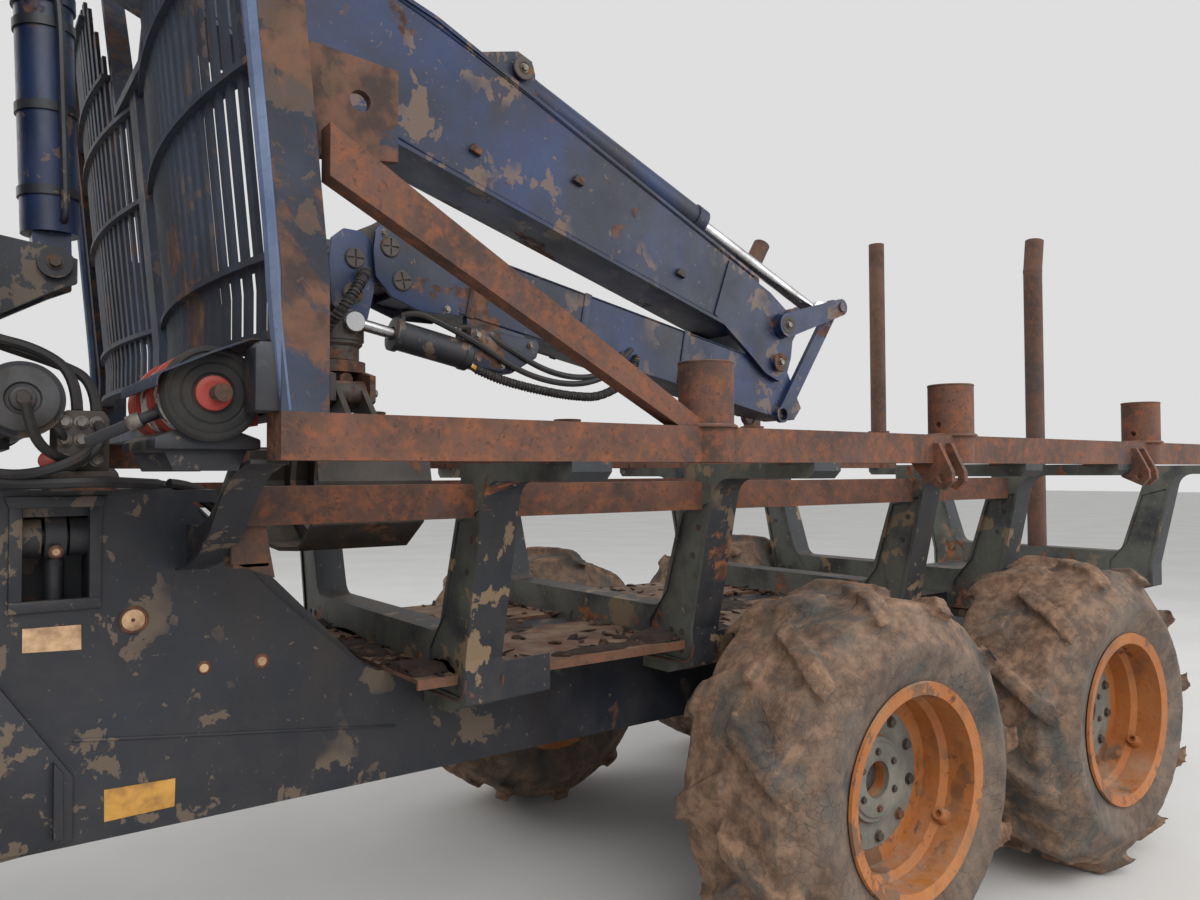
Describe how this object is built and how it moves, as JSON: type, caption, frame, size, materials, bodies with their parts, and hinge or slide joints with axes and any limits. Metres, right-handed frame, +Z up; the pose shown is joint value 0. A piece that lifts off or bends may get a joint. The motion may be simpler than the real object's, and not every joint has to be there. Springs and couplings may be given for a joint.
{
  "type": "articulated forestry forwarder",
  "caption": "Worn articulated forestry forwarder with a folded loading crane, bunks with side rails, a load gate, bogie wheels behind and larger wheels in front.",
  "frame": {"origin": "middle of the machine's length and width, on the ground under the tyres", "axes": "+X forward to the hood, +Y to the left, +Z up"},
  "size_m": [10.25, 2.75, 3.9156],
  "materials": {
    "frame_paint": "worn satin",
    "crane_paint": "worn satin",
    "gate_steel": "worn",
    "rusty_steel": "rusty",
    "worn_steel": "worn",
    "tyre_rubber": "muddy",
    "rim_paint": "dusty",
    "body_paint": "dusty",
    "cab_paint": "satin",
    "cab_trim": "matt",
    "engine_iron": "cast",
    "rod_chrome": "polished",
    "hose_rubber": "ribbed",
    "extinguisher_red": "gloss"
  },
  "bodies": {
    "rear_frame": {"rear_frame": "frame_paint", "deck_plates": "rusty_steel", "bunks": "frame_paint", "inner_rails": "rusty_steel", "side_rails": "rusty_steel", "load_gate": "gate_steel", "stakes": "rusty_steel", "rear_bogies": "frame_paint", "slew_base": "frame_paint", "fire_extinguisher": "extinguisher_red"},
    "front_frame": {"centre_joint": "frame_paint", "front_frame": "frame_paint", "front_axle": "frame_paint", "engine_block": "engine_iron", "hood": "body_paint", "cab_shell": "cab_paint", "cab_interior": "cab_trim"},
    "cab_door": {"cab_door": "body_paint"},
    "pillar": {"pillar": "frame_paint", "hose_bundle": "hose_rubber"},
    "lift_barrel": {"lift_barrel": "crane_paint"},
    "lift_rod": {"lift_rod": "rod_chrome"},
    "boom": {"boom": "crane_paint"},
    "jib_barrel": {"jib_barrel": "crane_paint"},
    "jib_rod": {"jib_rod": "rod_chrome"},
    "jib_lever": {"jib_lever": "crane_paint"},
    "jib_strut": {"jib_strut": "crane_paint"},
    "jib": {"jib": "crane_paint"},
    "extension": {"extension": "worn_steel"},
    "hanger": {"hanger": "worn_steel"},
    "grapple_head": {"grapple_head": "worn_steel"},
    "jaw_left": {"jaw_left": "worn_steel"},
    "jaw_right": {"jaw_right": "worn_steel"},
    "steer_barrel_left": {"steer_barrel_left": "frame_paint"},
    "steer_barrel_right": {"steer_barrel_right": "frame_paint"},
    "steer_rod_left": {"steer_rod_left": "rod_chrome"},
    "steer_rod_right": {"steer_rod_right": "rod_chrome"},
    "wheel_rear_front_left": {"tyre_rear_front_left": "tyre_rubber", "rim_rear_front_left": "rim_paint"},
    "wheel_rear_front_right": {"tyre_rear_front_right": "tyre_rubber", "rim_rear_front_right": "rim_paint"},
    "wheel_rear_back_left": {"tyre_rear_back_left": "tyre_rubber", "rim_rear_back_left": "rim_paint"},
    "wheel_rear_back_right": {"tyre_rear_back_right": "tyre_rubber", "rim_rear_back_right": "rim_paint"},
    "wheel_front_left": {"tyre_front_left": "tyre_rubber", "rim_front_left": "rim_paint"},
    "wheel_front_right": {"tyre_front_right": "tyre_rubber", "rim_front_right": "rim_paint"}
  },
  "joints": [
    {"name": "frame_steer", "type": "hinge", "parent": "rear_frame", "child": "front_frame", "pos_m": [1.675, 0, 1.05], "axis": [0, 0, 1], "range_deg": [-38, 38]},
    {"name": "steer_left_swing", "type": "hinge", "parent": "rear_frame", "child": "steer_barrel_left", "pos_m": [1.265, 0.3, 1.08], "axis": [0, 0, 1], "range_deg": [-20, 20]},
    {"name": "steer_left_slide", "type": "slide", "parent": "steer_barrel_left", "child": "steer_rod_left", "axis": [1, 0, 0], "range_m": [-0.3, 0.3]},
    {"name": "steer_right_swing", "type": "hinge", "parent": "rear_frame", "child": "steer_barrel_right", "pos_m": [1.265, -0.3, 1.08], "axis": [0, 0, 1], "range_deg": [-20, 20]},
    {"name": "steer_right_slide", "type": "slide", "parent": "steer_barrel_right", "child": "steer_rod_right", "axis": [1, 0, 0], "range_m": [-0.3, 0.3]},
    {"name": "cab_door_swing", "type": "hinge", "parent": "front_frame", "child": "cab_door", "pos_m": [2.399, 0.762, 2.2], "axis": [0, 0, 1], "range_deg": [0, 85]},
    {"name": "boom_lift", "type": "hinge", "parent": "pillar", "child": "boom", "pos_m": [1.125, 0, 3.75], "axis": [0, 1, 0], "range_deg": [0, 60]},
    {"name": "crane_slew", "type": "hinge", "parent": "rear_frame", "child": "pillar", "pos_m": [1.075, 0, 2.1], "axis": [0, 0, -1], "range_deg": [-190, 190]},
    {"name": "lift_swing", "type": "hinge", "parent": "pillar", "child": "lift_barrel", "pos_m": [0.695, 0, 2.36], "axis": [0, 1, 0], "range_deg": [-20, 10]},
    {"name": "lift_slide", "type": "slide", "parent": "lift_barrel", "child": "lift_rod", "axis": [0.035, 0, 0.9994], "range_m": [0, 0.62]},
    {"name": "jib_fold", "type": "hinge", "parent": "boom", "child": "jib", "pos_m": [-2.33515, 0, 2.27007], "axis": [0, 1, 0], "range_deg": [0, 150]},
    {"name": "lever_swing", "type": "hinge", "parent": "boom", "child": "jib_lever", "pos_m": [-2.36544, 0, 2.45192], "axis": [0, 1, 0], "range_deg": [0, 110]},
    {"name": "strut_swing", "type": "hinge", "parent": "jib_lever", "child": "jib_strut", "pos_m": [-2.76408, 0, 2.57999], "axis": [0, 1, 0], "range_deg": [-60, 10]},
    {"name": "jib_cylinder_swing", "type": "hinge", "parent": "boom", "child": "jib_barrel", "pos_m": [-0.90208, 0, 3.34822], "axis": [0, 1, 0], "range_deg": [-5, 12]},
    {"name": "jib_cylinder_slide", "type": "slide", "parent": "jib_barrel", "child": "jib_rod", "axis": [-0.9244, 0, -0.3814], "range_m": [-0.45, 0]},
    {"name": "extension_slide", "type": "slide", "parent": "jib", "child": "extension", "axis": [0.9816, 0, 0.1908], "range_m": [0, 1.2]},
    {"name": "hanger_swing", "type": "hinge", "parent": "extension", "child": "hanger", "pos_m": [-0.17447, 0, 2.47013], "axis": [0, 1, 0], "range_deg": [-200, 20]},
    {"name": "rotator_turn", "type": "hinge", "parent": "hanger", "child": "grapple_head", "pos_m": [-0.17447, 0, 2.14013], "axis": [0, 0, 1], "continuous": true},
    {"name": "jaw_left_open", "type": "hinge", "parent": "grapple_head", "child": "jaw_left", "pos_m": [-0.17447, 0.13, 2.01513], "axis": [1, 0, 0], "range_deg": [0, 50]},
    {"name": "jaw_right_open", "type": "hinge", "parent": "grapple_head", "child": "jaw_right", "pos_m": [-0.17447, -0.13, 2.01513], "axis": [1, 0, 0], "range_deg": [-50, 0]},
    {"name": "wheel_rear_front_left_spin", "type": "hinge", "parent": "rear_frame", "child": "wheel_rear_front_left", "pos_m": [-1.675, 1.075, 0.67], "axis": [0, 1, 0], "continuous": true},
    {"name": "wheel_rear_front_right_spin", "type": "hinge", "parent": "rear_frame", "child": "wheel_rear_front_right", "pos_m": [-1.675, -1.075, 0.67], "axis": [0, 1, 0], "continuous": true},
    {"name": "wheel_rear_back_left_spin", "type": "hinge", "parent": "rear_frame", "child": "wheel_rear_back_left", "pos_m": [-3.175, 1.075, 0.67], "axis": [0, 1, 0], "continuous": true},
    {"name": "wheel_rear_back_right_spin", "type": "hinge", "parent": "rear_frame", "child": "wheel_rear_back_right", "pos_m": [-3.175, -1.075, 0.67], "axis": [0, 1, 0], "continuous": true},
    {"name": "wheel_front_left_spin", "type": "hinge", "parent": "front_frame", "child": "wheel_front_left", "pos_m": [3.575, 1.075, 0.82], "axis": [0, 1, 0], "continuous": true},
    {"name": "wheel_front_right_spin", "type": "hinge", "parent": "front_frame", "child": "wheel_front_right", "pos_m": [3.575, -1.075, 0.82], "axis": [0, 1, 0], "continuous": true}
  ],
  "couplings": [
    {"joint": "crane_slew", "follows": "boom_lift", "ratio": 0.1},
    {"joint": "lift_swing", "follows": "boom_lift", "ratio": -0.195},
    {"joint": "lift_slide", "follows": "boom_lift", "m_per_rad": 0.535},
    {"joint": "jib_fold", "follows": "boom_lift", "ratio": 0.9},
    {"joint": "lever_swing", "follows": "boom_lift", "ratio": 0.9367},
    {"joint": "strut_swing", "follows": "boom_lift", "ratio": -0.3142},
    {"joint": "jib_cylinder_swing", "follows": "boom_lift", "ratio": 0.0833},
    {"joint": "jib_cylinder_slide", "follows": "boom_lift", "m_per_rad": -0.3457},
    {"joint": "extension_slide", "follows": "boom_lift", "m_per_rad": 0.43},
    {"joint": "hanger_swing", "follows": "boom_lift", "ratio": -1.9},
    {"joint": "jaw_right_open", "follows": "jaw_left_open", "ratio": -1},
    {"joint": "steer_left_swing", "follows": "frame_steer", "ratio": 0.5},
    {"joint": "steer_left_slide", "follows": "frame_steer", "m_per_rad": -0.2946},
    {"joint": "steer_right_swing", "follows": "frame_steer", "ratio": 0.5},
    {"joint": "steer_right_slide", "follows": "frame_steer", "m_per_rad": 0.2946}
  ]
}
